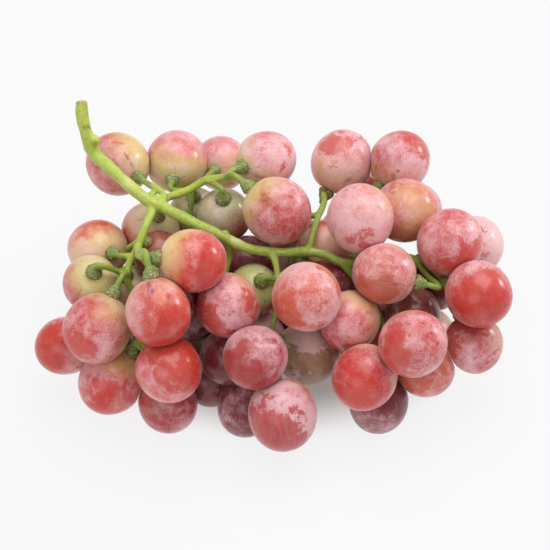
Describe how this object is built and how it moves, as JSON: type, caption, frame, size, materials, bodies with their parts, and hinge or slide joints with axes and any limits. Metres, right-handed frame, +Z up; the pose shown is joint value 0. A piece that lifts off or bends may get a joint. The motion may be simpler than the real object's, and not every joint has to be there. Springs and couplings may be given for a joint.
{
  "type": "bunch of grapes",
  "caption": "Bunch of large red table grapes with its green branched stem, as cut from the vine, lying on its side.",
  "frame": {"origin": "on the table, under the middle of the bunch's outline seen from above", "axes": "+X along the length of the bunch, away from the cut end; +Y away from the viewer of the picture; +Z up from the table"},
  "size_m": [0.1757, 0.1358, 0.0891],
  "materials": {
    "berries": "pinkish red skin with a pale waxy bloom, satin",
    "stem": "fresh yellow-green stalk, satin"
  },
  "bodies": {
    "root": {"berries": "berries", "stem": "stem"}
  },
  "joints": []
}
